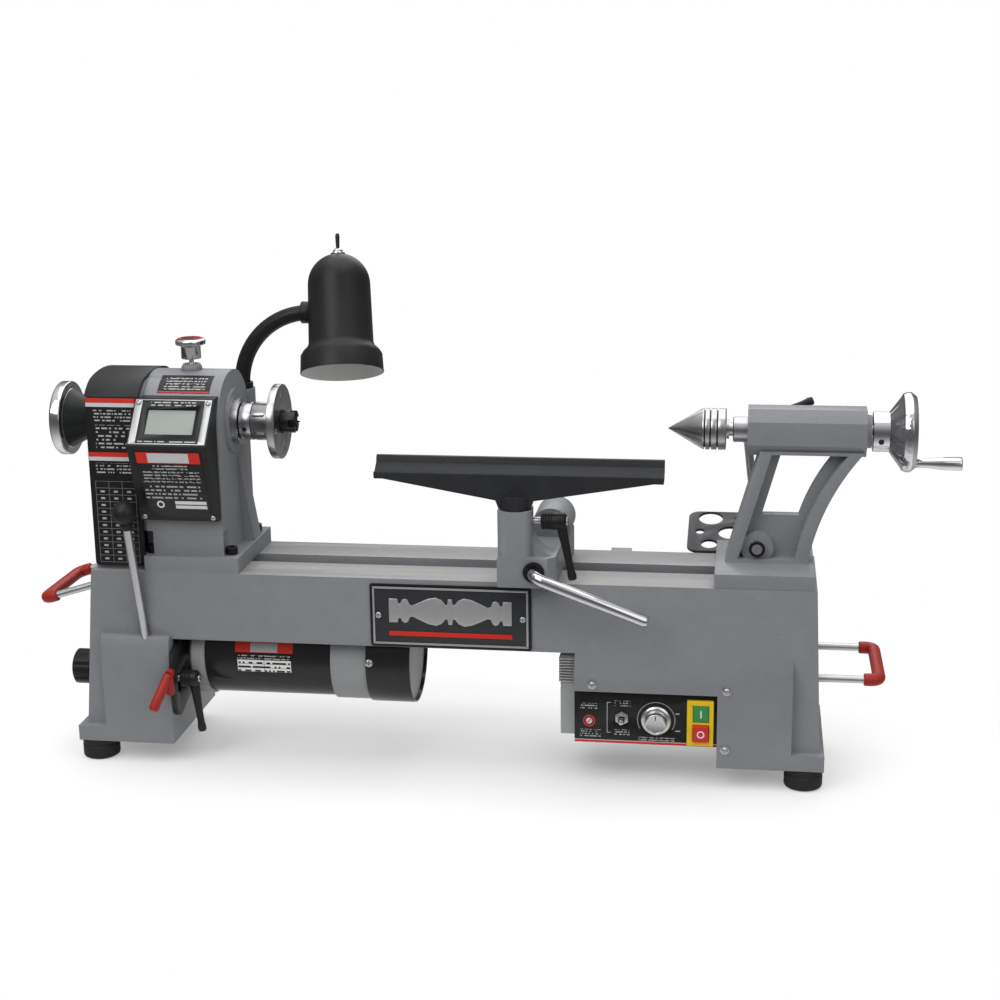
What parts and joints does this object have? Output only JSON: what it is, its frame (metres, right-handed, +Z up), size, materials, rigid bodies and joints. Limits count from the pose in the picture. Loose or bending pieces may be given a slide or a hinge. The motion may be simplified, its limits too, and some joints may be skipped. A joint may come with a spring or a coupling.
{
  "type": "wood lathe",
  "caption": "Bench-top wood-turning lathe with cast bed, headstock with speed readout, tool rest, tailstock, work lamp and control panel.",
  "frame": {"origin": "on the bench, centred under the whole machine", "axes": "+X from headstock to tailstock along the bed, +Y to the back, +Z up"},
  "size_m": [0.978, 0.265, 0.5576],
  "materials": {
    "cast_grey": "satin, cast texture",
    "sheet_grey": "satin",
    "black_paint": "satin",
    "rack_paint": "satin",
    "motor_black": "gloss",
    "lamp_black": "satin",
    "black_rubber": "matte",
    "belt_rubber": "matte",
    "red_vinyl": "satin",
    "black_steel": "black oxide",
    "bright_steel": "machined",
    "bearing_steel": "ground",
    "chrome": "polished",
    "pulley_aluminium": "machined",
    "dial_aluminium": "satin",
    "plate_black": "gloss",
    "rest_iron": "matte, cast texture",
    "black_plastic": "satin",
    "yellow_plastic": "gloss",
    "green_plastic": "gloss",
    "red_plastic": "gloss",
    "display_glass": "gloss",
    "bulb_glass": "frosted"
  },
  "bodies": {
    "base": {"bed": "cast_grey", "rubber_feet": "black_rubber", "frame_bolts": "black_steel", "nameplate": "plate_black", "cover_screws": "bright_steel", "headstock": "cast_grey", "belt_cover": "black_paint", "lid_hinge_pin": "bright_steel", "readout_housing": "black_paint", "readout_window": "display_glass", "spindle_bearings": "bearing_steel", "index_bush": "chrome", "drive_belt": "belt_rubber", "control_box": "sheet_grey", "control_panel": "black_paint", "power_switch_frame": "yellow_plastic", "tool_rack": "rack_paint"},
    "lid": {"belt_lid": "black_paint"},
    "index_plunger": {"index_pin": "chrome"},
    "spindle_set": {"spindle": "bright_steel", "spindle_pulley": "pulley_aluminium", "faceplate": "bright_steel", "spur_centre": "black_steel", "outboard_handwheel": "chrome"},
    "motor": {"motor_body": "motor_black", "motor_end_bells": "sheet_grey", "motor_plate": "black_paint", "tension_handle": "red_vinyl"},
    "rotor": {"motor_pulley": "pulley_aluminium"},
    "tension_lock": {"tension_lock_lever": "black_plastic"},
    "door": {"access_door": "cast_grey"},
    "knob": {"door_knob": "black_plastic"},
    "bar": {"knockout_bar": "bright_steel"},
    "left_handle": {"left_handle_rod": "chrome", "left_handle_grip": "red_vinyl"},
    "right_handle": {"right_handle_rod": "chrome", "right_handle_grip": "red_vinyl"},
    "start": {"start_button": "green_plastic"},
    "stop": {"stop_button": "red_plastic"},
    "speed": {"speed_knob": "dial_aluminium"},
    "direction": {"direction_lever": "chrome"},
    "lamp_arm": {"lamp_gooseneck": "lamp_black"},
    "lamp_head": {"lamp_shade": "lamp_black", "lamp_bulb": "bulb_glass"},
    "lamp_toggle": {"lamp_switch": "black_plastic"},
    "banjo_clamp": {"banjo_clamp_plate": "black_steel"},
    "eyebolt": {"banjo_eyebolt": "bright_steel"},
    "banjo_casting": {"banjo": "cast_grey"},
    "cam": {"banjo_lever": "chrome"},
    "post": {"tool_rest_post": "bright_steel"},
    "rest": {"tool_rest": "rest_iron"},
    "rest_lock": {"tool_rest_lock": "black_plastic"},
    "tail": {"tailstock": "cast_grey", "tailstock_clamp": "black_steel"},
    "tail_lock": {"tailstock_clamp_lever": "chrome"},
    "quill_set": {"quill": "bright_steel"},
    "centre": {"live_centre": "bright_steel"},
    "handwheel": {"tailstock_handwheel": "chrome"},
    "crank": {"crank_handle": "chrome"},
    "quill_lock": {"quill_lock_lever": "black_plastic"}
  },
  "joints": [
    {"name": "lid_hinge", "type": "hinge", "parent": "base", "child": "lid", "pos_m": [-0.38897, 0.0474, 0.398], "axis": [-1, 0, 0], "range_deg": [0, 100]},
    {"name": "index_plunge", "type": "slide", "parent": "base", "child": "index_plunger", "axis": [0, 0, 1], "range_m": [-0.005, 0], "stiffness_N_per_m": 400, "springref_m": 0.004},
    {"name": "spindle_spin", "type": "hinge", "parent": "base", "child": "spindle_set", "pos_m": [-0.36197, -0.0146, 0.3674], "axis": [1, 0, 0], "continuous": true},
    {"name": "motor_tilt", "type": "hinge", "parent": "base", "child": "motor", "pos_m": [-0.33397, 0.0334, 0.097], "axis": [-1, 0, 0], "range_deg": [0, 4], "deforming": ["drive_belt"]},
    {"name": "rotor_spin", "type": "hinge", "parent": "motor", "child": "rotor", "pos_m": [-0.36197, -0.0146, 0.112], "axis": [1, 0, 0], "continuous": true},
    {"name": "tension_lock", "type": "hinge", "parent": "base", "child": "tension_lock", "pos_m": [-0.32977, -0.0766, 0.095], "axis": [1, 0, 0], "range_deg": [-60, 25]},
    {"name": "door_hinge", "type": "hinge", "parent": "base", "child": "door", "pos_m": [-0.44197, 0.0314, 0.085], "axis": [0, 0, -1], "range_deg": [0, 100]},
    {"name": "knob_turn", "type": "hinge", "parent": "door", "child": "knob", "pos_m": [-0.46197, -0.0146, 0.0815], "axis": [1, 0, 0], "range_deg": [-180, 180]},
    {"name": "bar_draw", "type": "slide", "parent": "base", "child": "bar", "axis": [-0.064, -0.1023, 0.9927], "range_m": [0, 0.06]},
    {"name": "left_handle_lift", "type": "hinge", "parent": "base", "child": "left_handle", "pos_m": [-0.42697, -0.0146, 0.1935], "axis": [0, 1, 0], "range_deg": [0, 17]},
    {"name": "right_handle_slide", "type": "slide", "parent": "base", "child": "right_handle", "axis": [1, 0, 0], "range_m": [-0.03, 0]},
    {"name": "start_press", "type": "slide", "parent": "base", "child": "start", "axis": [0, 1, 0], "range_m": [0, 0.003], "stiffness_N_per_m": 300, "springref_m": -0.002},
    {"name": "stop_press", "type": "slide", "parent": "base", "child": "stop", "axis": [0, 1, 0], "range_m": [0, 0.003], "stiffness_N_per_m": 300, "springref_m": -0.002},
    {"name": "speed_turn", "type": "hinge", "parent": "base", "child": "speed", "pos_m": [0.18453, -0.0836, 0.071], "axis": [0, 1, 0], "range_deg": [-150, 150]},
    {"name": "direction_flip", "type": "hinge", "parent": "base", "child": "direction", "pos_m": [0.14873, -0.0821, 0.072], "axis": [1, 0, 0], "range_deg": [-10, 10]},
    {"name": "lamp_swivel", "type": "hinge", "parent": "base", "child": "lamp_arm", "pos_m": [-0.28297, 0.0514, 0.38], "axis": [0, 0, 1], "range_deg": [-15, 90]},
    {"name": "lamp_tilt", "type": "hinge", "parent": "lamp_arm", "child": "lamp_head", "pos_m": [-0.20297, 0.0514, 0.475], "axis": [1, 0, 0], "range_deg": [-20, 45]},
    {"name": "lamp_toggle", "type": "hinge", "parent": "lamp_head", "child": "lamp_toggle", "pos_m": [-0.17612, 0.07769, 0.54134], "axis": [1, 0, 0], "range_deg": [-8, 8]},
    {"name": "banjo_slide", "type": "slide", "parent": "base", "child": "banjo_clamp", "axis": [1, 0, 0], "range_m": [-0.1, 0.1]},
    {"name": "banjo_swivel", "type": "hinge", "parent": "banjo_clamp", "child": "eyebolt", "pos_m": [0.05903, -0.0146, 0.215], "axis": [0, 0, 1], "range_deg": [-10, 5]},
    {"name": "banjo_reach", "type": "slide", "parent": "eyebolt", "child": "banjo_casting", "axis": [0, 1, 0], "range_m": [-0.02, 0.01]},
    {"name": "cam_turn", "type": "hinge", "parent": "banjo_casting", "child": "cam", "pos_m": [0.05903, -0.0746, 0.2325], "axis": [0, -1, 0], "range_deg": [-20, 60]},
    {"name": "rest_lift", "type": "slide", "parent": "banjo_casting", "child": "post", "axis": [0, 0, 1], "range_m": [0, 0.04]},
    {"name": "rest_swivel", "type": "hinge", "parent": "post", "child": "rest", "pos_m": [0.03853, -0.0816, 0.295], "axis": [0, 0, -1], "range_deg": [-10, 15]},
    {"name": "rest_lock", "type": "hinge", "parent": "banjo_casting", "child": "rest_lock", "pos_m": [0.06503, -0.0816, 0.2825], "axis": [1, 0, 0], "range_deg": [-60, 60]},
    {"name": "tail_slide", "type": "slide", "parent": "base", "child": "tail", "axis": [1, 0, 0], "range_m": [-0.135, 0.003]},
    {"name": "tail_lock", "type": "hinge", "parent": "tail", "child": "tail_lock", "pos_m": [0.28433, -0.0146, 0.2453], "axis": [0, 1, 0], "range_deg": [-30, 60]},
    {"name": "handwheel_spin", "type": "hinge", "parent": "tail", "child": "handwheel", "pos_m": [0.41803, -0.0146, 0.3674], "axis": [1, 0, 0], "range_deg": [-4000, 1050]},
    {"name": "quill_slide", "type": "slide", "parent": "tail", "child": "quill_set", "axis": [1, 0, 0], "range_m": [-0.045, 0.012]},
    {"name": "centre_spin", "type": "hinge", "parent": "quill_set", "child": "centre", "pos_m": [0.22803, -0.0146, 0.3674], "axis": [1, 0, 0], "continuous": true},
    {"name": "crank_spin", "type": "hinge", "parent": "handwheel", "child": "crank", "pos_m": [0.45803, -0.0146, 0.3354], "axis": [1, 0, 0], "continuous": true},
    {"name": "quill_lock", "type": "hinge", "parent": "tail", "child": "quill_lock", "pos_m": [0.28103, 0.0099, 0.3674], "axis": [0, 1, 0], "range_deg": [-40, 20]}
  ],
  "couplings": [
    {"joint": "rotor_spin", "follows": "spindle_spin", "ratio": 1.8182},
    {"joint": "quill_slide", "follows": "handwheel_spin", "m_per_rad": 0.00063662}
  ]
}
